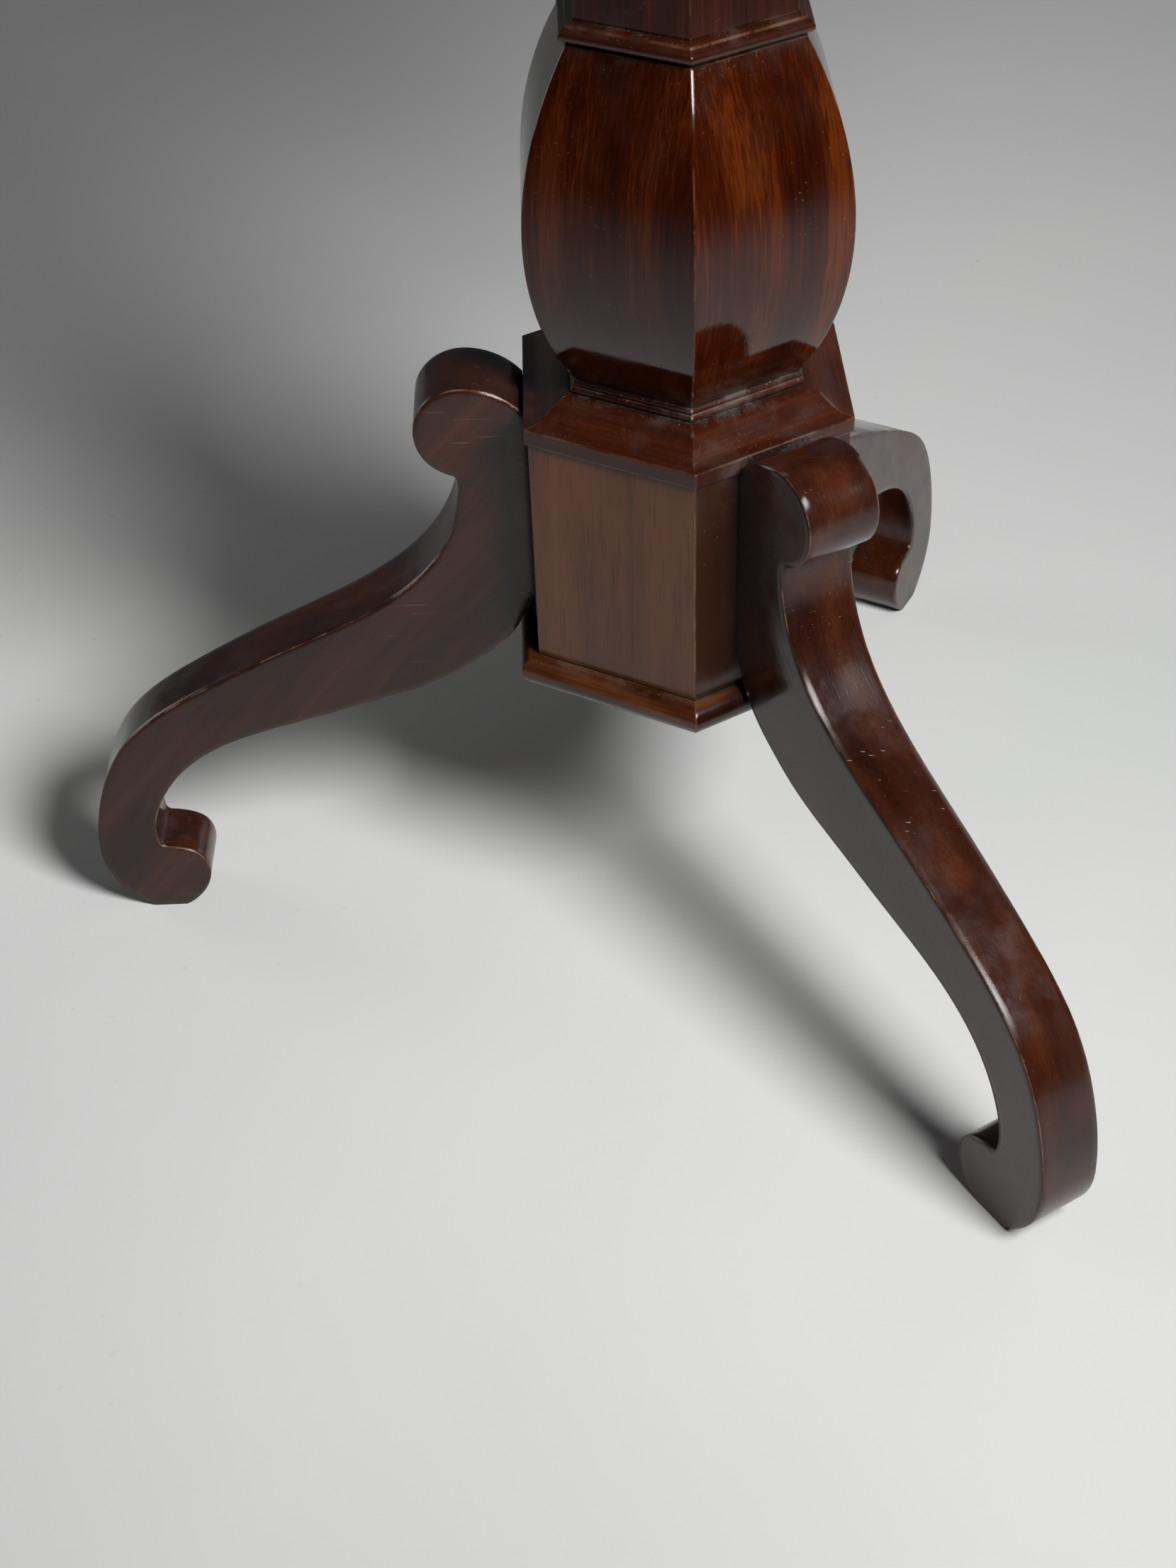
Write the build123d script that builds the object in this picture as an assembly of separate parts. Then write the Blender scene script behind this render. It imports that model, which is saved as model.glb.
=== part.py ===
from build123d import *
import math
import os

# Tilt top table on a six-sided column with three flat-sawn scroll legs.
# Frame: origin on the floor under the column's axis, +Z up, millimetres. One leg points along -X
# and the other two lie 60 degrees either side of +X. The top tilts about an axis parallel to Y.

# Driving dimensions: heights above the floor
total_height = 720.0
top_thickness = 20.0
top_block_height = 30.0
leg_block_bottom = 177.0
leg_block_top = 294.0
collar_top = 311.8
vase_bottom = 318.0
vase_top = 470.5
shaft_bottom = 480.0
capital_bottom = 652.0

# Driving dimensions: plan sizes. An apothem is half the distance across a hexagon's flats
top_radius = 325.0
leg_block_apothem = 72.0
collar_apothem = 73.6
shaft_bottom_apothem = 45.3
shaft_top_apothem = 40.0
leg_thickness = 38.5
leg_foot_thickness = 31.0
foot_reach = 308.0

# Driving dimensions: tilt hinge and the block that carries the top
pintle_x = 62.0
pintle_radius = 9.0
pintle_length = 30.0
pintle_clearance = 0.08
top_block_front = -72.0
top_block_half_width = 65.0
rest_gap = 0.4
bearer_depth = 34.0
bearer_width = 36.0
bearer_half_length = 250.0

# Driving dimensions: spring catch
bolt_half_width = 6.0
bolt_bottom = 686.0
bolt_top = 693.0
bolt_travel = 8.0
slide_gap = 0.3
glue_gap = 0.1
mitre_gap = 0.06

# Worked-out heights
underside = total_height - top_thickness
block_bottom = underside - top_block_height
block_top = underside - rest_gap
pintle_z = underside - top_block_height / 2
bearer_bottom = underside - bearer_depth

FACE_TURNS = range(0, 360, 60)
LEG_TURNS = {"leg_left": 180, "leg_front": -60, "leg_back": 60}

os.makedirs("parts", exist_ok=True)


def save(name, shape):
    export_step(shape, "parts/" + name + ".step")


def group(solids):
    return Compound(children=list(solids))


def side_face(*edges):
    """A face drawn in radius (or X) and height, standing in the XZ plane."""
    return Plane.XZ * make_face(Curve() + list(edges))


def box(low, high):
    """A box between two corners."""
    size = [high[i] - low[i] for i in range(3)]
    centre = [(high[i] + low[i]) / 2 for i in range(3)]
    return Pos(*centre) * Box(*size)


def hexagon(apothem, bottom, top):
    """A six-sided prism with one flat facing +X."""
    corner_radius = apothem / math.cos(math.radians(30))
    plan = Pos(0, 0, bottom) * RegularPolygon(corner_radius, 6, rotation=30)
    return extrude(plan, top - bottom)


def round_bar(radius, bottom, top):
    return Pos(0, 0, bottom) * extrude(Circle(radius), top - bottom)


def mitred_ring(section):
    """Six lengths of moulding with the given section, mitred round the hexagon."""
    reach = 120.0
    half = reach * math.tan(math.radians(30))
    wedge_plan = make_face(Polyline((mitre_gap, 0), (reach, -half), (reach, half), close=True))
    wedge = extrude(wedge_plan, total_height)
    length = extrude(section, half, both=True) & wedge
    return group(Rot(0, 0, turn) * length for turn in FACE_TURNS)


def screw_form(head_radius, shank_radius, length, gap=0.0):
    """A countersunk wood screw that stands head down on the XY plane and points up."""
    head = head_radius + gap
    shank = shank_radius + gap
    taper_end = head_radius - shank_radius
    outline = Polyline(
        (0, 0), (head, 0), (shank, taper_end), (shank, length - 2 * shank_radius), (0, length + gap), close=True
    )
    return revolve(side_face(outline), Axis.Z, 360)


def screw(head_radius, shank_radius, length):
    """The screw itself, with a driver slot across its head."""
    slot = box((-head_radius, -head_radius / 7, -1), (head_radius, head_radius / 7, head_radius / 3.5))
    return screw_form(head_radius, shank_radius, length) - slot


# ---------------------------------------------------------------- screw places
BEARER_SCREW = (5.0, 2.5, 46.0)
CATCH_SCREW = (3.4, 1.7, 14.0)
KEEPER_SCREW = (3.0, 1.5, 16.0)
BASE_SCREW = (5.0, 2.5, 45.0)

bearer_middle = top_block_half_width + 0.5 + bearer_width / 2
bearer_screw_places = [
    Pos(x, side * bearer_middle, bearer_bottom) for side in (-1, 1) for x in (-180, -60, 115, 180)
]
catch_plate_bottom = underside - 2.0
catch_screw_places = [Pos(x, y, catch_plate_bottom) for x in (-140, -86) for y in (-12, 12)]
keeper_face = top_block_front - 2.0
keeper_screw_places = [Pos(keeper_face, y, (bolt_bottom + bolt_top) / 2) * Rot(0, 90, 0) for y in (-12, 12)]
base_board_bottom = leg_block_bottom - 15.0
base_screw_places = [Rot(0, 0, turn) * Pos(45, 0, base_board_bottom) for turn in (0, 120, 240)]


def screws(places, sizes):
    return group(place * screw(*sizes) for place in places)


def screw_holes(places, sizes):
    return [place * screw_form(*sizes, gap=glue_gap) for place in places]


# ---------------------------------------------------------------- the round top
def make_table_top():
    """Three boards, edge to edge, cut to a disc with a thumb-moulded edge."""
    r = top_radius
    section = side_face(
        Line((0, underside), (r - 19, underside)),
        ThreePointArc((r - 19, underside), (r - 8.5, underside + 2.2), (r, underside + 8)),
        Line((r, underside + 8), (r, underside + 12)),
        ThreePointArc((r, underside + 12), (r - 2.4, underside + 16.8), (r - 7.5, underside + 18.8)),
        Line((r - 7.5, underside + 18.8), (r - 7.5, total_height)),
        Line((r - 7.5, total_height), (0, total_height)),
        Line((0, total_height), (0, underside)),
    )
    disc = revolve(section, Axis.Z, 360)
    for hole in screw_holes(bearer_screw_places, BEARER_SCREW) + screw_holes(catch_screw_places, CATCH_SCREW):
        disc -= hole
    joint = 105.0
    edges = (-r - 5, -joint, joint, r + 5)
    boards = []
    for low, high in zip(edges, edges[1:]):
        boards.append(disc & box((low, -r - 5, underside - 5), (high, r + 5, total_height + 5)))
    return group(boards)


def make_bearer(side):
    """A cleat across the grain, bored for the pintle and scooped at its ends."""
    end = bearer_half_length
    section = side_face(
        Line((-end, underside), (end, underside)),
        Line((end, underside), (end, underside - 13)),
        ThreePointArc((end, underside - 13), (end - 26, underside - 25), (end - 56, bearer_bottom)),
        Line((end - 56, bearer_bottom), (56 - end, bearer_bottom)),
        ThreePointArc((56 - end, bearer_bottom), (26 - end, underside - 25), (-end, underside - 13)),
        Line((-end, underside - 13), (-end, underside)),
    )
    bar = Pos(0, side * bearer_middle, 0) * extrude(section, bearer_width / 2, both=True)
    inner = top_block_half_width + 0.5
    bore_depth = pintle_length + 0.5
    bore = Cylinder(pintle_radius + pintle_clearance, bore_depth, align=(Align.CENTER, Align.CENTER, Align.MIN))
    bar -= Pos(pintle_x, side * inner, pintle_z) * Rot(-90 * side, 0, 0) * bore
    for hole in screw_holes(bearer_screw_places, BEARER_SCREW):
        bar -= hole
    return bar


# ---------------------------------------------------------------- the block on top of the column
WEDGE_TOP = 3.2
WEDGE_TIP = 1.0
WEDGE_DEPTH = 22.0
TENON_RADIUS = 20.0


def wedge_form(gap=0.0):
    """A thin taper across the tenon, along Y, as wide as the tenon is round."""
    plan = Polyline(
        (-WEDGE_TOP / 2 - gap, block_top),
        (WEDGE_TOP / 2 + gap, block_top),
        (WEDGE_TIP / 2 + gap, block_top - WEDGE_DEPTH - gap),
        (-WEDGE_TIP / 2 - gap, block_top - WEDGE_DEPTH - gap),
        close=True,
    )
    return extrude(side_face(plan), TENON_RADIUS + 1, both=True)


def make_tenon_wedge():
    return wedge_form() & round_bar(TENON_RADIUS, block_bottom, block_top)


def make_top_block():
    """The tilt block: a flat top, a rounded back edge and a pintle turned on each end of it."""
    nose = top_block_height / 2 - rest_gap
    back = pintle_x + nose
    half_root = nose * math.sqrt(0.5)
    section = side_face(
        Line((top_block_front, block_bottom), (back, block_bottom)),
        Line((back, block_bottom), (back, pintle_z)),
        ThreePointArc((back, pintle_z), (pintle_x + half_root, pintle_z + half_root), (pintle_x, block_top)),
        Line((pintle_x, block_top), (top_block_front, block_top)),
        Line((top_block_front, block_top), (top_block_front, block_bottom)),
    )
    block = extrude(section, top_block_half_width, both=True)
    block += Pos(pintle_x, 0, pintle_z) * Rot(90, 0, 0) * Cylinder(
        pintle_radius, 2 * (top_block_half_width + pintle_length)
    )
    block -= round_bar(TENON_RADIUS + glue_gap, block_bottom - 1, block_top + 1)
    pocket_low = (top_block_front - 1, -bolt_half_width - 0.5, bolt_bottom - 0.5)
    pocket_high = (top_block_front + 6.5, bolt_half_width + 0.5, bolt_top + 0.5)
    block -= box(pocket_low, pocket_high)
    for hole in screw_holes(keeper_screw_places, KEEPER_SCREW):
        block -= hole
    return block


# ---------------------------------------------------------------- the spring catch
bolt_back = -118.0
bolt_tip = top_block_front + 5.5
knob_x = -113.0
knob_stem = 2.2
case_back = bolt_back - bolt_travel - 6.0
case_front = -92.0
case_bottom = bolt_bottom - 2.5
tunnel_back = case_back + 2.0


def make_catch_plate():
    plate = box((-146, -17, catch_plate_bottom), (-80, 17, underside))
    plate = fillet(plate.edges().filter_by(Axis.Z), 4)
    for hole in screw_holes(catch_screw_places, CATCH_SCREW):
        plate -= hole
    return plate


def make_catch_case():
    """The bolt's tunnel, shut at the back, with a slot below for the knob's stem."""
    case = box((case_back, -9, case_bottom), (case_front, 9, catch_plate_bottom))
    case = fillet(case.edges().filter_by(Axis.X), 1.5)
    wide = bolt_half_width + slide_gap
    case -= box((tunnel_back, -wide, bolt_bottom - slide_gap), (case_front + 1, wide, bolt_top + slide_gap))
    room = knob_stem + slide_gap
    case -= box((knob_x - bolt_travel - room, -room, case_bottom - 1), (knob_x + room, room, bolt_bottom))
    return case


def make_catch_bolt():
    """A flat bolt whose nose is bevelled below, so that it snaps shut over the keeper."""
    section = side_face(
        Polyline(
            (bolt_back, bolt_bottom),
            (bolt_tip - 4.5, bolt_bottom),
            (bolt_tip, bolt_bottom + 4),
            (bolt_tip, bolt_top),
            (bolt_back, bolt_top),
            close=True,
        )
    )
    bolt = extrude(section, bolt_half_width, both=True)
    bolt -= Pos(knob_x, 0, 0) * round_bar(knob_stem + 0.05, bolt_bottom - 1, bolt_bottom + 4)
    return bolt


def make_catch_knob():
    """A small turned knob on a stem that screws into the bolt."""
    stem_bottom = bolt_bottom - 5
    section = side_face(
        Line((0, stem_bottom - 12), (0, bolt_bottom + 3.9)),
        Line((0, bolt_bottom + 3.9), (knob_stem, bolt_bottom + 3.9)),
        Line((knob_stem, bolt_bottom + 3.9), (knob_stem, stem_bottom)),
        ThreePointArc((knob_stem, stem_bottom), (3.2, stem_bottom - 2.2), (5.4, stem_bottom - 3.6)),
        ThreePointArc((5.4, stem_bottom - 3.6), (6.4, stem_bottom - 7), (4.6, stem_bottom - 10.4)),
        ThreePointArc((4.6, stem_bottom - 10.4), (3.0, stem_bottom - 11.6), (1.2, stem_bottom - 12)),
        Line((1.2, stem_bottom - 12), (0, stem_bottom - 12)),
    )
    return Pos(knob_x, 0, 0) * revolve(section, Axis.Z, 360)


def make_catch_spring():
    wire = 0.35
    coil = 2.6
    start = tunnel_back + wire + 0.1
    length = bolt_back - wire - 0.1 - start
    middle = (bolt_bottom + bolt_top) / 2
    helix = Helix(pitch=length / 5, height=length, radius=coil, center=(start, 0, middle), direction=(1, 0, 0))
    return sweep(Plane(helix @ 0, z_dir=helix % 0) * Circle(wire), path=helix, is_frenet=True)


def make_keeper_plate():
    middle = (bolt_bottom + bolt_top) / 2
    plate = box((keeper_face, -17, middle - 8), (top_block_front, 17, middle + 7.5))
    plate = fillet(plate.edges().filter_by(Axis.X), 2)
    opening = bolt_half_width + 0.4
    plate -= box((keeper_face - 1, -opening, bolt_bottom - 0.4), (top_block_front + 1, opening, bolt_top + 0.4))
    for hole in screw_holes(keeper_screw_places, KEEPER_SCREW):
        plate -= hole
    return plate


# ---------------------------------------------------------------- the column
LOWER_TENON = 44.0
UPPER_TENON = 40.0
UPPER_TENON_RADIUS = 16.0
VASE_PLINTH = 50.5
VASE_NECK = 47.0
SHAFT_FOOT = 44.0
SHAFT_HEAD = 38.0


def make_shaft():
    """The tapered upper shaft, with a foot and head rebated for their mouldings and a tenon at each end."""
    foot = hexagon(SHAFT_FOOT, vase_top, shaft_bottom)
    corner = math.cos(math.radians(30))
    low = Pos(0, 0, shaft_bottom) * RegularPolygon(shaft_bottom_apothem / corner, 6, rotation=30)
    high = Pos(0, 0, capital_bottom) * RegularPolygon(shaft_top_apothem / corner, 6, rotation=30)
    shaft = loft([low, high]) + foot + hexagon(SHAFT_HEAD, capital_bottom, block_bottom)
    shaft += round_bar(TENON_RADIUS, block_bottom, block_top)
    shaft += round_bar(UPPER_TENON_RADIUS, vase_top - UPPER_TENON, vase_top)
    return shaft - wedge_form(gap=0.05)


def make_top_collar():
    inner = SHAFT_HEAD + glue_gap
    section = side_face(
        Line((inner, capital_bottom), (42.5, capital_bottom)),
        Line((42.5, capital_bottom), (42.5, capital_bottom + 3)),
        ThreePointArc((42.5, capital_bottom + 3), (44.6, capital_bottom + 9.4), (50, block_bottom - 4)),
        Line((50, block_bottom - 4), (51.5, block_bottom - 4)),
        Line((51.5, block_bottom - 4), (51.5, block_bottom)),
        Line((51.5, block_bottom), (inner, block_bottom)),
        Line((inner, block_bottom), (inner, capital_bottom)),
    )
    return mitred_ring(section)


def make_upper_collar():
    """A thin nosing with a sloping fillet above, which stands clear over the vase."""
    inner = SHAFT_FOOT + glue_gap
    under = vase_top + 1.8
    section = side_face(
        Line((inner, under), (50.3, under)),
        ThreePointArc((50.3, under), (51.7, under + 2.2), (50.6, under + 4.6)),
        Line((50.6, under + 4.6), (48.6, under + 5.6)),
        Line((48.6, under + 5.6), (48.4, under + 6.4)),
        Line((48.4, under + 6.4), (shaft_bottom_apothem, shaft_bottom - 0.1)),
        Line((shaft_bottom_apothem, shaft_bottom - 0.1), (inner, shaft_bottom - 0.1)),
        Line((inner, shaft_bottom - 0.1), (inner, under)),
    )
    return mitred_ring(section)


def make_vase():
    """The six-sided baluster: its outline is cut across the three pairs of faces."""
    flat = math.cos(math.radians(30))
    corner_outline = [(57.0, vase_bottom), (73.3, 347.5), (80.8, 396.0), (70.8, 442.5), (56.3, vase_top)]
    right = [(radius * flat, height) for radius, height in corner_outline]
    left = [(-radius, height) for radius, height in reversed(right)]
    section = side_face(Spline(*right), Line(right[-1], left[0]), Spline(*left), Line(left[-1], right[0]))
    slab = extrude(section, 120, both=True)
    vase = slab & (Rot(0, 0, 60) * slab) & (Rot(0, 0, 120) * slab)
    vase += hexagon(VASE_NECK, collar_top, vase_bottom)
    vase += hexagon(VASE_PLINTH, leg_block_top, collar_top)
    vase += round_bar(TENON_RADIUS, leg_block_top - LOWER_TENON, leg_block_top)
    return vase - round_bar(UPPER_TENON_RADIUS + glue_gap, vase_top - UPPER_TENON - 1, vase_top + 1)


def make_bead_moulding():
    """Two small beads, one above the other, round the foot of the vase."""
    inner = VASE_NECK + glue_gap
    middle = (collar_top + vase_bottom) / 2
    section = side_face(
        Line((inner, collar_top), (50.4, collar_top)),
        ThreePointArc((50.4, collar_top), (51.9, (collar_top + middle) / 2), (50.4, middle)),
        Line((50.4, middle), (49.6, middle)),
        ThreePointArc((49.6, middle), (51.0, (middle + vase_bottom) / 2), (49.6, vase_bottom - 0.1)),
        Line((49.6, vase_bottom - 0.1), (inner, vase_bottom - 0.1)),
        Line((inner, vase_bottom - 0.1), (inner, collar_top)),
    )
    return mitred_ring(section)


def make_lower_collar():
    """An ogee, rounded at the top and hollow below, that ends in a thin upright edge."""
    inner = VASE_PLINTH + glue_gap
    outer = collar_apothem
    ogee = Spline(
        (51.4, collar_top - 0.1), (56.2, 310.9), (62.3, 306.5), (67.3, 302.6), (outer, 301.4),
        tangents=((1, 0.05), (1, -0.1)),
    )
    section = side_face(
        Line((inner, leg_block_top), (outer, leg_block_top)),
        Line((outer, leg_block_top), (outer, 301.4)),
        ogee,
        Line((51.4, collar_top - 0.1), (inner, collar_top - 0.1)),
        Line((inner, collar_top - 0.1), (inner, leg_block_top)),
    )
    return mitred_ring(section)


# ---------------------------------------------------------------- leg block, base and legs
TONGUE_NARROW = 11.0
TONGUE_WIDE = 15.0
TONGUE_DEPTH = 18.0
TONGUE_TOP = 285.0


def dovetail(gap=0.0):
    """The sliding dovetail of the leg that points along +X."""
    inner = leg_block_apothem - TONGUE_DEPTH - gap
    outer = leg_block_apothem + 1.0
    plan = Polyline(
        (inner, -TONGUE_WIDE - gap),
        (outer, -TONGUE_NARROW - gap),
        (outer, TONGUE_NARROW + gap),
        (inner, TONGUE_WIDE + gap),
        close=True,
    )
    return Pos(0, 0, leg_block_bottom) * extrude(make_face(plan), TONGUE_TOP + gap - leg_block_bottom)


def make_leg_block():
    block = hexagon(leg_block_apothem, leg_block_bottom, leg_block_top)
    block -= round_bar(TENON_RADIUS + glue_gap, leg_block_top - LOWER_TENON - 1, leg_block_top + 1)
    for turn in LEG_TURNS.values():
        block -= Rot(0, 0, turn) * dovetail(glue_gap)
    for hole in screw_holes(base_screw_places, BASE_SCREW):
        block -= hole
    return block


def leg_taper():
    """The plan of a leg along +X, as a tall solid: it thins from its head to its foot."""
    head = leg_thickness / 2
    foot = leg_foot_thickness / 2
    middle = foot + 0.22 * (head - foot)
    middle_reach = 198.0
    start = leg_block_apothem - 1
    neck = leg_block_apothem + 24
    end = foot_reach + 1
    plan = make_face(Curve() + [
        Line((start, -head), (neck, -head)),
        ThreePointArc((neck, -head), (middle_reach, -middle), (end, -foot)),
        Line((end, -foot), (end, foot)),
        ThreePointArc((end, foot), (middle_reach, middle), (neck, head)),
        Line((neck, head), (start, head)),
        Line((start, head), (start, -head)),
    ])
    return extrude(plan, total_height / 2)


def make_leg():
    """One flat-sawn leg along +X: a round head, an S curve, and a foot that curls back in."""
    face = leg_block_apothem + 0.05
    lip = collar_apothem + 0.3
    upper_edge = Spline(
        (105.8, 260.0), (107.2, 246.0), (118.8, 218.2), (150.0, 189.8), (196.0, 166.3),
        (246.5, 139.6), (283.0, 111.8), (301.4, 77.0), (307.5, 43.0),
    )
    under_edge = Spline(
        (276.2, 45.0), (276.3, 56.0), (272.0, 70.0), (261.5, 87.0), (247.0, 100.3), (221.0, 113.4),
        (187.0, 123.8), (153.0, 134.6), (119.0, 147.4), (98.0, 161.6), (84.6, 174.0), (76.8, 187.5), (face, 199.0),
    )
    outline = side_face(
        Line((face, 199.0), (face, leg_block_top - 0.3)),
        Line((face, leg_block_top - 0.3), (lip, leg_block_top - 0.3)),
        Line((lip, leg_block_top - 0.3), (lip, 296.0)),
        ThreePointArc((lip, 296.0), (84.3, 304.8), (100.5, 309.5)),
        ThreePointArc((100.5, 309.5), (124.6, 286.6), (108.0, 264.2)),
        ThreePointArc((108.0, 264.2), (106.3, 262.6), (105.8, 260.0)),
        upper_edge,
        ThreePointArc((307.5, 43.0), (301.6, 17.0), (285.0, 0.0)),
        Line((285.0, 0.0), (268.0, 0.0)),
        Spline((268.0, 0.0), (257.0, 9.5), (252.3, 22.5), (256.5, 35.0), (266.0, 39.9), (273.6, 41.2)),
        ThreePointArc((273.6, 41.2), (275.5, 42.6), (276.2, 45.0)),
        under_edge,
    )
    board = extrude(outline, leg_thickness / 2, both=True) & leg_taper()
    return board + dovetail()


def make_base_board():
    board = hexagon(leg_block_apothem, base_board_bottom, leg_block_bottom)
    for hole in screw_holes(base_screw_places, BASE_SCREW):
        board -= hole
    return board


def make_base_moulding():
    """A half-round nosing that runs right round below the leg block, behind the legs."""
    inner = leg_block_apothem + glue_gap
    outer = 80.4
    low = base_board_bottom
    high = leg_block_bottom
    section = side_face(
        Line((inner, low), (75.5, low)),
        ThreePointArc((75.5, low), (outer, (low + high) / 2 + 0.5), (75.0, high - 0.6)),
        Line((75.0, high - 0.6), (73.8, high)),
        Line((73.8, high), (inner, high)),
        Line((inner, high), (inner, low)),
    )
    return mitred_ring(section)


save("table_top", make_table_top())
save("bearer_front", make_bearer(-1))
save("bearer_back", make_bearer(1))
save("bearer_screws", screws(bearer_screw_places, BEARER_SCREW))
save("top_block", make_top_block())
save("tenon_wedge", make_tenon_wedge())
save("catch_plate", make_catch_plate())
save("catch_case", make_catch_case())
save("catch_bolt", make_catch_bolt())
save("catch_knob", make_catch_knob())
save("catch_spring", make_catch_spring())
save("catch_screws", screws(catch_screw_places, CATCH_SCREW))
save("keeper_plate", make_keeper_plate())
save("keeper_screws", screws(keeper_screw_places, KEEPER_SCREW))
save("shaft", make_shaft())
save("top_collar", make_top_collar())
save("upper_collar", make_upper_collar())
save("vase", make_vase())
save("bead_moulding", make_bead_moulding())
save("lower_collar", make_lower_collar())
save("leg_block", make_leg_block())
save("base_board", make_base_board())
save("base_moulding", make_base_moulding())
save("base_screws", screws(base_screw_places, BASE_SCREW))
leg = make_leg()
for leg_name, leg_turn in LEG_TURNS.items():
    save(leg_name, Rot(0, 0, leg_turn) * leg)
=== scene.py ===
"""Looks for the tilt top table: polished mahogany on a six-sided column, with a brass catch under the top."""
import math

import bmesh
import bpy
from mathutils import Matrix, Vector


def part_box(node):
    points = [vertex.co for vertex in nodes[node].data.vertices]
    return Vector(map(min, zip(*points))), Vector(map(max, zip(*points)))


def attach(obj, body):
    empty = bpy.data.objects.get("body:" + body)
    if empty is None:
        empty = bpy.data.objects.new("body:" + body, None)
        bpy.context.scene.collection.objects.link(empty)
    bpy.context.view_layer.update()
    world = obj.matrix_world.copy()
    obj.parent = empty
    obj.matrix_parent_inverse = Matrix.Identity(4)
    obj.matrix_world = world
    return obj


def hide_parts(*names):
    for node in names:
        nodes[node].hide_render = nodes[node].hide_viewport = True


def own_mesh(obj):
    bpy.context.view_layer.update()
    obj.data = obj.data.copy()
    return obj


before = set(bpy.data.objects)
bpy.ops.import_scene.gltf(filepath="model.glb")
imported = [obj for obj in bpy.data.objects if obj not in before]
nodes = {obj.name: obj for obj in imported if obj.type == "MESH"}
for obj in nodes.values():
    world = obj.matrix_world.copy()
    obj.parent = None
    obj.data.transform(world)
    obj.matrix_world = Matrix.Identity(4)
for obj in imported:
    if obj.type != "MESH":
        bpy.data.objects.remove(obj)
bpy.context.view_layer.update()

# ---------------------------------------------------------------- camera and lights
# These are in metres, degrees and watts, with the lens and its sensor in millimetres. Each fill is a name,
# an azimuth and a power. The room's front and back are the strengths of its light.
CAMERA_DISTANCE = 0.9285
CAMERA_HEIGHT = 0.8412
CAMERA_AZIMUTH = -3.33
CAMERA_HEADING = 0.19
CAMERA_PITCH = 40.15
CAMERA_ROLL = -2.22
CAMERA_LENS = 53.06
SENSOR_WIDTH = 36.0
KEY_AZIMUTH = 35.0
KEY_ELEVATION = 49.5
KEY_DISTANCE = 1.45
KEY_SIZE = 0.46
KEY_POWER = 29.5
FILL_ELEVATION = 14.0
FILL_DISTANCE = 3.0
FILL_SIZE = 1.2
FILLS = (("fill_left", 242.0, 14.0), ("fill_right", 130.0, 7.0))
LIGHT_AIM = Vector((0.0, 0.0, 0.2))
ROOM_COLOUR = (0.80, 0.82, 0.84, 1.0)
ROOM_FRONT = 0.012
ROOM_BACK = 0.09


def around(azimuth, elevation, distance):
    """A point seen from the origin at an azimuth from -Y towards +X and an elevation."""
    turn = math.radians(azimuth)
    rise = math.radians(elevation)
    level = math.cos(rise)
    return Vector((math.sin(turn) * level, -math.cos(turn) * level, math.sin(rise))) * distance


def add_object(name, data):
    """A new object in the scene."""
    obj = bpy.data.objects.new(name, data)
    bpy.context.scene.collection.objects.link(obj)
    return obj


def make_camera():
    """The camera, which stands in front of the table and looks down at it with a slight roll."""
    data = bpy.data.cameras.new("camera")
    data.sensor_width = SENSOR_WIDTH
    data.lens = CAMERA_LENS
    camera = add_object("camera", data)
    heading = math.radians(CAMERA_HEADING)
    pitch = math.radians(CAMERA_PITCH)
    roll = math.radians(CAMERA_ROLL)
    level = math.cos(pitch)
    ahead = Vector((math.sin(heading) * level, math.cos(heading) * level, -math.sin(pitch)))
    right = Vector((math.cos(heading), -math.sin(heading), 0.0))
    up = right.cross(ahead)
    side = right * math.cos(roll) + up * math.sin(roll)
    top = up * math.cos(roll) - right * math.sin(roll)
    place = around(CAMERA_AZIMUTH, 0, CAMERA_DISTANCE) + Vector((0, 0, CAMERA_HEIGHT))
    camera.matrix_world = Matrix((
        (side.x, top.x, -ahead.x, place.x),
        (side.y, top.y, -ahead.y, place.y),
        (side.z, top.z, -ahead.z, place.z),
        (0, 0, 0, 1),
    ))
    bpy.context.scene.camera = camera


def add_light(name, place, size, power):
    """A round area light that the camera doesn't see, aimed low on the column."""
    data = bpy.data.lights.new(name, "AREA")
    data.shape = "DISK"
    data.size = size
    data.energy = power
    light = add_object(name, data)
    light.visible_camera = False
    light.location = place
    light.rotation_euler = (place - LIGHT_AIM).to_track_quat("Z", "Y").to_euler()


def make_room():
    """A room that is nearly dark in front of the table and softly lit behind it."""
    world = bpy.data.worlds.new("world")
    bpy.context.scene.world = world
    world.use_nodes = True
    tree = world.node_tree
    direction = tree.nodes.new("ShaderNodeTexCoord")
    split = tree.nodes.new("ShaderNodeSeparateXYZ")
    glow = tree.nodes.new("ShaderNodeMapRange")
    glow.interpolation_type = "SMOOTHSTEP"
    for key, value in (("From Min", -0.1), ("From Max", 0.8), ("To Min", ROOM_FRONT), ("To Max", ROOM_BACK)):
        glow.inputs[key].default_value = value
    background = tree.nodes["Background"]
    background.inputs["Color"].default_value = ROOM_COLOUR
    tree.links.new(direction.outputs["Generated"], split.inputs[0])
    tree.links.new(split.outputs["Y"], glow.inputs["Value"])
    tree.links.new(glow.outputs["Result"], background.inputs["Strength"])


def make_lights():
    """A near soft key from the front right, and two wide low fills behind the table."""
    add_light("key", around(KEY_AZIMUTH, KEY_ELEVATION, KEY_DISTANCE), KEY_SIZE, KEY_POWER)
    for name, azimuth, power in FILLS:
        add_light(name, around(azimuth, FILL_ELEVATION, FILL_DISTANCE), FILL_SIZE, power)
    make_room()
    bpy.context.scene.view_settings.view_transform = "Standard"


make_camera()
make_lights()


# ---------------------------------------------------------------- shader building
SIDES = 6.0
SIXTH = math.tau / SIDES


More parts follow.
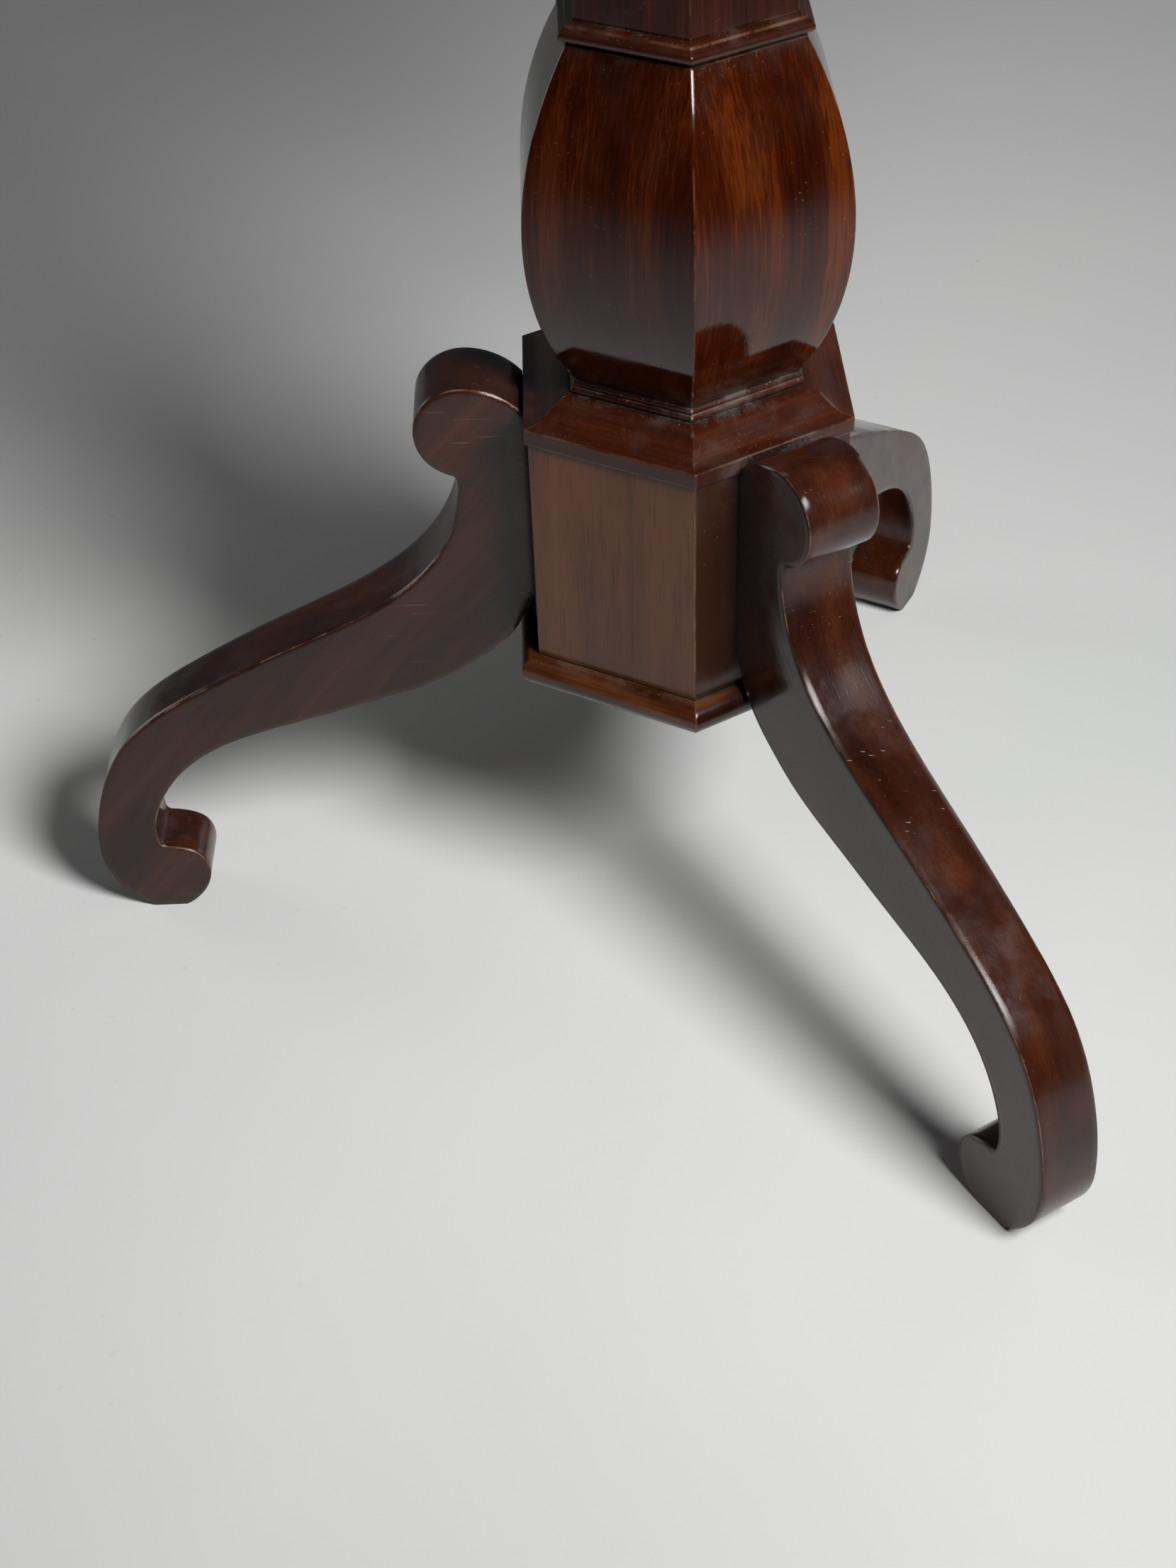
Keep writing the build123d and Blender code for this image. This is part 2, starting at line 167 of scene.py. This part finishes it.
class Shader:
    """A material under construction, with short calls for the nodes that these materials use."""

    def __init__(self, name):
        self.material = bpy.data.materials.new(name)
        self.material.use_nodes = True
        self.tree = self.material.node_tree
        self.bsdf = self.tree.nodes["Principled BSDF"]

    def node(self, kind, **settings):
        """A new node of a kind, with its settings."""
        made = self.tree.nodes.new("ShaderNode" + kind)
        for key, value in settings.items():
            setattr(made, key, value)
        return made

    def feed(self, socket, value):
        """Links an output to a socket, or sets the socket to a plain value."""
        if isinstance(value, bpy.types.NodeSocket):
            self.tree.links.new(value, socket)
        else:
            socket.default_value = value

    def maths(self, operation, *values, clamp=False):
        """The result of one operation on numbers or outputs."""
        made = self.node("Math", operation=operation, use_clamp=clamp)
        for socket, value in zip(made.inputs, values):
            self.feed(socket, value)
        return made.outputs[0]

    def spread(self, value, low, high, out_low=0.0, out_high=1.0):
        """Maps a value smoothly from one range to another, with its ends held."""
        made = self.node("MapRange", interpolation_type="SMOOTHSTEP")
        for socket, number in zip(made.inputs, (value, low, high, out_low, out_high)):
            self.feed(socket, number)
        return made.outputs[0]

    def mix(self, factor, first, second, blend="MIX"):
        """Two colours mixed. The colour sockets of the node are its inputs 6 and 7 and its output 2."""
        made = self.node("Mix", data_type="RGBA", blend_type=blend)
        self.feed(made.inputs["Factor"], factor)
        self.feed(made.inputs[6], first)
        self.feed(made.inputs[7], second)
        return made.outputs[2]

    def moved(self, vector, turn=(0, 0, 0), scale=(1, 1, 1), shift=(0, 0, 0)):
        """Coordinates scaled, then turned, then shifted."""
        made = self.node("Mapping")
        self.feed(made.inputs["Vector"], vector)
        made.inputs["Rotation"].default_value = turn
        made.inputs["Scale"].default_value = scale
        made.inputs["Location"].default_value = shift
        return made.outputs[0]

    def parts(self, vector):
        """The X, Y and Z outputs of a vector."""
        split = self.node("SeparateXYZ")
        self.feed(split.inputs[0], vector)
        return split.outputs

    def joined(self, *values):
        """A vector made of three numbers or outputs."""
        made = self.node("CombineXYZ")
        for socket, value in zip(made.inputs, values):
            self.feed(socket, value)
        return made.outputs[0]

    def plus(self, vector, shift):
        """The sum of two vectors."""
        made = self.node("VectorMath", operation="ADD")
        self.feed(made.inputs[0], vector)
        self.feed(made.inputs[1], shift)
        return made.outputs[0]

    def noise(self, vector, scale, detail=3.0, roughness=0.55, distortion=0.0):
        """Cloudy noise from 0 to 1, mostly near 0.5."""
        made = self.node("TexNoise")
        self.feed(made.inputs["Vector"], vector)
        made.inputs["Scale"].default_value = scale
        made.inputs["Detail"].default_value = detail
        made.inputs["Roughness"].default_value = roughness
        made.inputs["Distortion"].default_value = distortion
        return made.outputs["Fac"]

    def place(self):
        """The object's own coordinates, in metres."""
        return self.node("TexCoord").outputs["Object"]

    def side_number(self):
        """Which side of the hexagon a point is on: 0 faces +X, 1 is the next one anticlockwise."""
        at = self.parts(self.place())
        angle = self.maths("ARCTAN2", at["Y"], at["X"])
        side = self.maths("ROUND", self.maths("DIVIDE", angle, SIXTH))
        return self.maths("MODULO", self.maths("ADD", side, SIDES), SIDES)

    def worn(self, radius):
        """The surface normal with every edge rubbed round to a radius."""
        soft = self.node("Bevel", samples=8)
        soft.inputs["Radius"].default_value = radius
        return soft.outputs[0]

    def edge(self, radius):
        """1 on the sharp edges of the shape, falling to 0 where the worn normal is the true one."""
        agreement = self.node("VectorMath", operation="DOT_PRODUCT")
        self.feed(agreement.inputs[0], self.worn(radius))
        self.feed(agreement.inputs[1], self.node("NewGeometry").outputs["Normal"])
        return self.spread(agreement.outputs["Value"], 0.995, 0.88)

    def hollow(self, distance):
        """1 in tight corners and under overhangs, falling to 0 in the open."""
        shade = self.node("AmbientOcclusion", samples=4)
        shade.inputs["Distance"].default_value = distance
        return self.maths("SUBTRACT", 1.0, shade.outputs["AO"])

    def upward(self, low, high):
        """1 where the surface faces up, falling to 0 as it turns away."""
        normal = self.parts(self.node("NewGeometry").outputs["Normal"])
        return self.spread(normal["Z"], low, high)

    def bump(self, height, strength, distance, under=None):
        """A normal that follows a height, laid over the normal under it."""
        made = self.node("Bump")
        made.inputs["Strength"].default_value = strength
        made.inputs["Distance"].default_value = distance
        self.feed(made.inputs["Height"], height)
        if under is not None:
            self.feed(made.inputs["Normal"], under)
        return made.outputs[0]


def rgb(red, green, blue):
    return (red, green, blue, 1.0)


# ---------------------------------------------------------------- the run of the grain
# Each grain function gives coordinates whose Z runs along the grain. The steps are how far apart in the
# wood two boards, two sides or two legs are cut, and SIDE_DEPTH is how fast the grain changes where a side
# of the column curves outwards.
ONTO_X = (0, math.radians(-90), 0)
ONTO_Y = (math.radians(90), 0, 0)
BOARD_WIDTH = 0.21
BOARD_STEP = (1.37, 3.1, 0.43)
SIDE_STEP = 0.71
SIDE_DEPTH = 0.35
LEG_SLOPE = math.radians(-140)
LEG_STEP = 0.01


def upright_grain(shader):
    return shader.place()


def along_x_grain(shader):
    return shader.moved(shader.place(), turn=ONTO_X)


def along_y_grain(shader):
    return shader.moved(shader.place(), turn=ONTO_Y)


def board_grain(shader):
    """Grain along Y, with each of the top's three boards cut from a different place."""
    place = shader.place()
    board = shader.maths("ROUND", shader.maths("DIVIDE", shader.parts(place)["X"], BOARD_WIDTH))
    shift = shader.joined(*(shader.maths("MULTIPLY", board, step) for step in BOARD_STEP))
    return shader.moved(shader.plus(place, shift), turn=ONTO_Y)


def by_side(shader, depth):
    """Coordinates that turn with the sides of the hexagon: X outwards from a side times depth, Y along it."""
    side = shader.side_number()
    turn = shader.node("VectorRotate", rotation_type="Z_AXIS")
    shader.feed(turn.inputs["Vector"], shader.place())
    shader.feed(turn.inputs["Angle"], shader.maths("MULTIPLY", side, -SIXTH))
    shift = shader.joined(0.0, shader.maths("MULTIPLY", side, SIDE_STEP), 0.0)
    return shader.plus(shader.moved(turn.outputs[0], scale=(depth, 1, 1)), shift)


def face_grain(shader):
    """Upright grain that follows each side of the column, however the side curves."""
    return by_side(shader, SIDE_DEPTH)


def strip_grain(shader):
    """Grain along each side of the hexagon, so that it turns at the mitres."""
    return shader.moved(by_side(shader, 1.0), turn=ONTO_Y)


def leg_grain(turn):
    """Grain from a leg's head down towards its foot, for a leg turned by so many degrees about the column."""
    def grain(shader):
        outward = shader.moved(shader.place(), turn=(0, 0, math.radians(-turn)))
        return shader.moved(outward, turn=(0, LEG_SLOPE, 0), shift=(turn * LEG_STEP, 0, 0))
    return grain


# ---------------------------------------------------------------- wood
# The two step and start values below give each side of the leg block its own painted shade: they darken the
# sides by different amounts, in place of the light falling differently on each. The radius and the reaches of
# the wear are in metres.
# Near black: the dark in the pores, and the grime and painted shade in corners and under overhangs.
GRIME_AND_SHADE = rgb(0.005, 0.003, 0.002)
DUST = rgb(0.13, 0.120, 0.105)
BARE_WOOD = rgb(0.30, 0.155, 0.085)
SCRATCHED_WOOD = rgb(0.16, 0.10, 0.075)
PAINTED_SHADE_STEP = 0.85
PAINTED_SHADE_START = 0.62
RUB_RADIUS = 0.0016
CORNER_REACH = 0.014
LEDGE_REACH = 0.0035


def drawn_out(s, along, across, lengthwise, detail, roughness, distortion=0.0, shift=(0, 0, 0)):
    """Noise drawn out along the grain, from its frequencies across the grain and along it."""
    scaled = s.moved(along, scale=(across, across, lengthwise), shift=shift)
    return s.noise(scaled, 1.0, detail, roughness, distortion)


def figured(s, along, dark, middle, light, figure, streaks):
    """The wood's own colour: broad ribbons and soft flames, crossed by fine fibres and open pores."""
    ribbon = drawn_out(s, along, 34, 1.6, detail=3.0, roughness=0.55, distortion=0.2)
    flame = drawn_out(s, along, 42, 9, detail=3.0, roughness=0.55, distortion=0.5)
    fibre = drawn_out(s, along, 520, 9, detail=4.0, roughness=0.6, distortion=0.1)
    hair = drawn_out(s, along, 1500, 40, detail=2.0, roughness=0.5)
    pore = drawn_out(s, along, 1100, 45, detail=1.0, roughness=0.5, shift=(3, 1, 2))
    broad = s.maths("ADD", s.spread(ribbon, 0.25, 0.75, -0.5, 0.5), s.spread(flame, 0.25, 0.75, -0.5, 0.5))
    fine = s.maths("ADD", s.spread(fibre, 0.2, 0.8, -0.5, 0.5), s.spread(hair, 0.2, 0.8, -0.35, 0.35))
    tone = s.maths("ADD", s.maths("MULTIPLY", broad, figure), s.maths("MULTIPLY", fine, streaks))
    colour = s.mix(s.spread(tone, -0.55, 0.05), dark, middle)
    colour = s.mix(s.spread(tone, -0.05, 0.60), colour, light)
    holes = s.spread(pore, 0.60, 0.70)
    return s.mix(s.maths("MULTIPLY", holes, 0.4), colour, GRIME_AND_SHADE), fibre, holes


def dashes(s, place, turn, shift):
    """Short straight hairlines, as a duster or a shoe leaves them."""
    line = s.noise(s.moved(place, turn=turn, scale=(16, 900, 900), shift=shift), 1.0, 0.0, 0.5)
    return s.spread(line, 0.80, 0.86)


def rubbed(s, place):
    """1 where the polish is worn off an edge, in patches."""
    patches = s.spread(s.noise(place, 55, 4, 0.7), 0.42, 0.62, 0.06, 1.0)
    return s.maths("MULTIPLY", s.edge(RUB_RADIUS), patches)


def soiled(s, place, corner, amount):
    """Dust: specks and a thin film that thicken towards the corners, and more of it on the ledges."""
    speck = s.spread(s.noise(place, 800, 2, 0.7), 0.65, 0.72)
    film = s.spread(s.noise(place, 46, 5, 0.7), 0.46, 0.64)
    settled = s.spread(s.noise(place, 11, 2, 0.5), 0.38, 0.58, 0.2, 1.0)
    soil = s.maths("MULTIPLY", s.maths("MAXIMUM", s.maths("MULTIPLY", film, 0.25), speck), settled)
    soil = s.maths("MULTIPLY", soil, s.spread(corner, 0.04, 0.30, 0.12, 1.0))
    ledge = s.maths("MULTIPLY", s.spread(s.hollow(LEDGE_REACH), 0.30, 0.60), s.upward(0.35, 0.9))
    ledge = s.maths("MULTIPLY", ledge, s.spread(film, 0.0, 0.8, 0.06, 0.5))
    return s.maths("MULTIPLY", s.maths("MAXIMUM", soil, ledge), amount, clamp=True)


def scratched(s, place, amount):
    """Two sets of hairlines that cross, in patches."""
    first = dashes(s, place, (0.3, 0.6, 0.4), (1, 5, 2))
    second = dashes(s, place, (0.2, -0.5, 2.3), (7, 2, 9))
    patches = s.spread(s.noise(place, 14, 2, 0.5), 0.50, 0.62)
    lines = s.maths("MULTIPLY", s.maths("MAXIMUM", first, second), patches)
    return s.maths("MULTIPLY", lines, amount, clamp=True)


def mahogany(name, grain, dark, middle, light, figure=0.5, streaks=0.5, roughness=0.2, polish=0.3, wear=0.4,
             dust=0.4, scratches=0.3, side_painted_shade=0.0, round_over=0.0015):
    """French-polished mahogany, with rubbed edges, grime and painted shade in its corners, dust and hairline
    scratches.

    The argument for the sides sets painted shade: how far each side of a block is darkened by its own amount,
    in place of the light falling differently on it. round_over is the radius of its worn arrises.
    """
    s = Shader(name)
    place = s.place()
    colour, fibre, holes = figured(s, grain(s), dark, middle, light, figure, streaks)
    # Painted shade: each side of the block is darkened towards the dark wood by its own amount, in place of
    # light that falls differently on each side.
    if side_painted_shade:
        shade = s.maths("ADD", s.maths("MULTIPLY", s.side_number(), PAINTED_SHADE_STEP), PAINTED_SHADE_START)
        colour = s.mix(s.maths("MULTIPLY", s.maths("FRACT", shade), side_painted_shade), colour, dark)
    cloud = s.noise(place, 8.0, 2.0, 0.5)
    colour = s.mix(s.spread(cloud, 0.30, 0.60, 0.35, 0.0), colour, dark)

    rub = rubbed(s, place)
    colour = s.mix(s.maths("MULTIPLY", rub, wear), colour, BARE_WOOD)
    corner = s.hollow(CORNER_REACH)
    # Grime and painted shade: corners and the undersides of overhangs, found by ambient occlusion, are
    # darkened nearly to black, as shade falls there.
    grime_and_shade = s.spread(corner, 0.25, 0.72)
    colour = s.mix(s.maths("MULTIPLY", grime_and_shade, 0.85), colour, GRIME_AND_SHADE)
    soil = soiled(s, place, corner, dust)
    colour = s.mix(soil, colour, DUST)
    scratch = scratched(s, place, scratches)
    colour = s.mix(s.maths("MULTIPLY", scratch, 0.7), colour, SCRATCHED_WOOD)
    s.feed(s.bsdf.inputs["Base Color"], colour)

    smudge = s.noise(place, 24, 4, 0.65)
    rough = s.spread(smudge, 0.35, 0.65, roughness * 0.75, roughness * 1.7)
    rough = s.maths("ADD", rough, s.maths("MULTIPLY", rub, 0.12))
    rough = s.maths("ADD", rough, s.maths("MULTIPLY", soil, 0.5))
    rough = s.maths("ADD", rough, s.maths("MULTIPLY", grime_and_shade, 0.25), clamp=True)
    s.feed(s.bsdf.inputs["Roughness"], rough)
    s.bsdf.inputs["Specular IOR Level"].default_value = 0.42
    s.bsdf.inputs["Coat Weight"].default_value = polish * 0.4
    s.bsdf.inputs["Coat Roughness"].default_value = 0.07

    surface = s.bump(s.noise(place, 17, 2, 0.5), 0.30, 0.0011, s.worn(round_over))
    surface = s.bump(s.maths("SUBTRACT", fibre, s.maths("MULTIPLY", holes, 0.8)), 0.10, 0.0002, surface)
    surface = s.bump(s.maths("SUBTRACT", soil, scratch), 0.35, 0.0002, surface)
    s.feed(s.bsdf.inputs["Normal"], surface)
    return s.material


COLUMN_WOOD = (rgb(0.011, 0.0014, 0.0003), rgb(0.024, 0.0034, 0.0005), rgb(0.066, 0.0124, 0.0012))
BLOCK_WOOD = (rgb(0.012, 0.0024, 0.0008), rgb(0.092, 0.0285, 0.0085), rgb(0.135, 0.0470, 0.0150))
MOULDING_WOOD = (rgb(0.008, 0.0013, 0.0006), rgb(0.026, 0.0048, 0.0018), rgb(0.056, 0.0125, 0.0042))
# The nosing's colours are a lighter copy of the moulding's: partly rubbed wear, partly a painted highlight
# for the light that the base moulding catches.
NOSING_WOOD_WITH_PAINTED_HIGHLIGHT = (rgb(0.010, 0.0020, 0.0007), rgb(0.048, 0.0120, 0.0030), rgb(0.130, 0.0420, 0.0105))
LEG_WOOD = (rgb(0.011, 0.0026, 0.0012), rgb(0.026, 0.0060, 0.0024), rgb(0.050, 0.0125, 0.0046))
PLAIN_WOOD = (rgb(0.045, 0.0160, 0.0070), rgb(0.110, 0.0430, 0.0180), rgb(0.180, 0.0800, 0.0360))

column_wood = mahogany(
    "column_mahogany", face_grain, *COLUMN_WOOD, figure=0.52, streaks=0.50, roughness=0.09, round_over=0.002,
)
# The leg block's sides get painted shade, each side darkened by its own amount as if lit differently.
block_wood = mahogany(
    "block_face_mahogany", face_grain, *BLOCK_WOOD, figure=0.40, streaks=0.16, roughness=0.16, side_painted_shade=1.0,
)
moulding_wood = mahogany(
    "moulding_mahogany", strip_grain, *MOULDING_WOOD, figure=0.60, streaks=0.26, roughness=0.14, dust=1.0,
)
# The base moulding: a lighter copy of the moulding wood, partly rubbed wear and partly painted highlight.
nosing_wood_with_painted_highlight = mahogany(
    "nosing_mahogany_painted_highlight", strip_grain, *NOSING_WOOD_WITH_PAINTED_HIGHLIGHT, figure=0.90, streaks=0.30, roughness=0.14, dust=0.8,
    wear=0.9,
)
top_wood = mahogany("top_mahogany", board_grain, *COLUMN_WOOD, figure=0.5, streaks=0.35, dust=0.1, wear=0.25)
bearer_wood = mahogany("bearer_mahogany", along_x_grain, *PLAIN_WOOD, roughness=0.5, polish=0.0, dust=0.6)
board_wood = mahogany("board_mahogany", along_y_grain, *PLAIN_WOOD, roughness=0.5, polish=0.0, dust=0.6)


# ---------------------------------------------------------------- metal and oak
TARNISH_REACH = 0.004
BRIGHT_EDGE = 0.0005


def metal(name, bright, tarnish, roughness, amount):
    """Brushed metal, with tarnish in blotches and corners that is rubbed off the edges."""
    s = Shader(name)
    place = s.place()
    blotch = s.spread(s.noise(place, 90, 4, 0.65), 0.42, 0.66, 0.0, amount)
    corner = s.spread(s.hollow(TARNISH_REACH), 0.25, 0.8, 0.0, 0.9)
    kept = s.maths("SUBTRACT", 1.0, s.maths("MULTIPLY", s.edge(BRIGHT_EDGE), 0.8))
    age = s.maths("MULTIPLY", s.maths("MAXIMUM", blotch, corner), kept, clamp=True)
    s.feed(s.bsdf.inputs["Base Color"], s.mix(age, bright, tarnish))
    s.bsdf.inputs["Metallic"].default_value = 1.0
    brush = s.noise(s.moved(place, scale=(60, 1400, 1400)), 1.0, 2, 0.5)
    rough = s.spread(brush, 0.3, 0.7, roughness * 0.8, roughness * 1.3)
    s.feed(s.bsdf.inputs["Roughness"], s.maths("ADD", rough, s.maths("MULTIPLY", age, 0.3)))
    s.feed(s.bsdf.inputs["Normal"], s.bump(brush, 0.15, 0.0001))
    return s.material


brass = metal("brass", rgb(0.66, 0.43, 0.16), rgb(0.16, 0.09, 0.035), 0.26, 0.7)
steel = metal("screw_steel", rgb(0.30, 0.28, 0.26), rgb(0.07, 0.05, 0.04), 0.40, 0.8)
spring_wire = metal("spring_steel", rgb(0.55, 0.53, 0.50), rgb(0.20, 0.17, 0.14), 0.28, 0.5)
oak = mahogany(
    "wedge_oak", upright_grain, rgb(0.12, 0.07, 0.03), rgb(0.24, 0.15, 0.07), rgb(0.36, 0.24, 0.12),
    roughness=0.6, polish=0.0, dust=0.3,
)

finish_of = {
    "table_top": top_wood, "bearer_front": bearer_wood, "bearer_back": bearer_wood, "top_block": board_wood,
    "tenon_wedge": oak, "shaft": column_wood, "vase": column_wood, "leg_block": block_wood,
    "base_moulding": nosing_wood_with_painted_highlight, "base_board": board_wood, "bearer_screws": steel, "base_screws": steel,
    "catch_spring": spring_wire,
}
for name in ("top_collar", "upper_collar", "bead_moulding", "lower_collar"):
    finish_of[name] = moulding_wood
for name in ("plate", "case", "bolt", "knob", "screws"):
    finish_of["catch_" + name] = brass
for name in ("keeper_plate", "keeper_screws"):
    finish_of[name] = brass
for name, turn in (("leg_left", 180), ("leg_front", -60), ("leg_back", 60)):
    finish_of[name] = mahogany(
        "leg_mahogany_" + name, leg_grain(turn), *LEG_WOOD, figure=0.70, streaks=0.30, roughness=0.17,
        wear=0.6, dust=0.5, scratches=0.6, round_over=0.005,
    )


# ---------------------------------------------------------------- eased edges
# The widths are in metres, and a piece with a width of 0 keeps its CAD edges.
USUAL_EASE = 0.0003
EASE = {
    "leg_left": 0.0022, "leg_front": 0.0022, "leg_back": 0.0022, "vase": 0.0006, "shaft": 0.0006,
    "leg_block": 0.0006, "table_top": 0.0, "catch_spring": 0.0, "catch_knob": 0.0, "tenon_wedge": 0.0,
    "bearer_front": 0.001, "bearer_back": 0.001, "top_block": 0.001, "base_board": 0.0006,
}


def ease_edges(obj, width):
    """Welds the corners of a CAD mesh and rounds its arrises to a width."""
    weld = obj.modifiers.new("weld", "WELD")
    weld.merge_threshold = 0.000005
    bevel = obj.modifiers.new("ease", "BEVEL")
    bevel.width = width
    bevel.segments = 3
    bevel.limit_method = "ANGLE"
    bevel.angle_limit = math.radians(28)
    bevel.harden_normals = True
    normals = obj.modifiers.new("normals", "WEIGHTED_NORMAL")
    normals.keep_sharp = False


for name, obj in nodes.items():
    obj.data.materials.clear()
    obj.data.materials.append(finish_of[name])
    width = EASE.get(name, USUAL_EASE)
    if width:
        ease_edges(obj, width)


# ---------------------------------------------------------------- the catch's spring
def make_spring():
    """A wire helix along X that fills the box of the catch's spring and moves with the top."""
    wire_radius = 0.00035
    turns = 5
    steps = 24
    sides = 8
    low, high = (Vector(corner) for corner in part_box("catch_spring"))
    middle = (low + high) / 2
    coil_radius = (high.y - low.y) / 2 - wire_radius
    start = low.x + wire_radius
    length = high.x - low.x - 2 * wire_radius
    last = turns * steps
    axial = Vector((1, 0, 0))
    shape = bmesh.new()
    rings = []
    for i in range(last + 1):
        angle = math.tau * i / steps
        radial = Vector((0, math.cos(angle), math.sin(angle)))
        centre = Vector((start + length * i / last, middle.y, middle.z)) + radial * coil_radius
        ring = []
        for k in range(sides):
            turned = math.tau * k / sides
            outward = radial * math.cos(turned) + axial * math.sin(turned)
            ring.append(shape.verts.new(centre + outward * wire_radius))
        rings.append(ring)
    for first, second in zip(rings, rings[1:]):
        for k in range(sides):
            shape.faces.new((first[k], second[k], second[k - 1], first[k - 1]))
    shape.faces.new(rings[0])
    shape.faces.new(reversed(rings[-1]))
    bmesh.ops.recalc_face_normals(shape, faces=shape.faces)
    mesh = bpy.data.meshes.new("spring_wire")
    shape.to_mesh(mesh)
    shape.free()
    mesh.shade_smooth()
    mesh.materials.append(spring_wire)
    spring = add_object("spring_wire", mesh)
    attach(spring, "top")
    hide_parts("catch_spring")
    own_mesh(spring)


make_spring()


# ---------------------------------------------------------------- floor
FLOOR_SIZE = 16
FLOOR_LOW = rgb(0.92, 0.94, 0.925)
FLOOR_HIGH = rgb(1.0, 1.0, 0.985)
FLOOR_FLECK = rgb(0.42, 0.41, 0.39)


def make_floor():
    """A pale floor with faint patches and flecks, and painted shade that darkens it towards the front and
    right.
    """
    bpy.ops.mesh.primitive_plane_add(size=FLOOR_SIZE)
    floor = bpy.context.object
    floor.name = "floor"
    s = Shader("floor")
    place = s.place()
    patch = s.noise(place, 1.6, 4, 0.55)
    colour = s.mix(s.spread(patch, 0.3, 0.7), FLOOR_LOW, FLOOR_HIGH)
    at = s.parts(place)
    depth = s.maths("SUBTRACT", at["Y"], s.maths("MULTIPLY", at["X"], 0.75))
    # Painted shade: the floor is darkened towards the front and right, near the key light, evening out how
    # the key's light falls off across it.
    painted_shade_gradient = s.spread(depth, -0.9, 1.1, 0.40, 0.92)
    colour = s.mix(1.0, colour, painted_shade_gradient, "MULTIPLY")
    fleck = s.spread(s.noise(place, 150, 2, 0.6), 0.70, 0.76)
    colour = s.mix(s.maths("MULTIPLY", fleck, 0.25), colour, FLOOR_FLECK)
    s.feed(s.bsdf.inputs["Base Color"], colour)
    s.bsdf.inputs["Roughness"].default_value = 0.7
    s.bsdf.inputs["Specular IOR Level"].default_value = 0.25
    s.feed(s.bsdf.inputs["Normal"], s.bump(s.noise(place, 60, 4, 0.6), 0.08, 0.002))
    floor.data.materials.append(s.material)


make_floor()

bpy.context.view_layer.update()
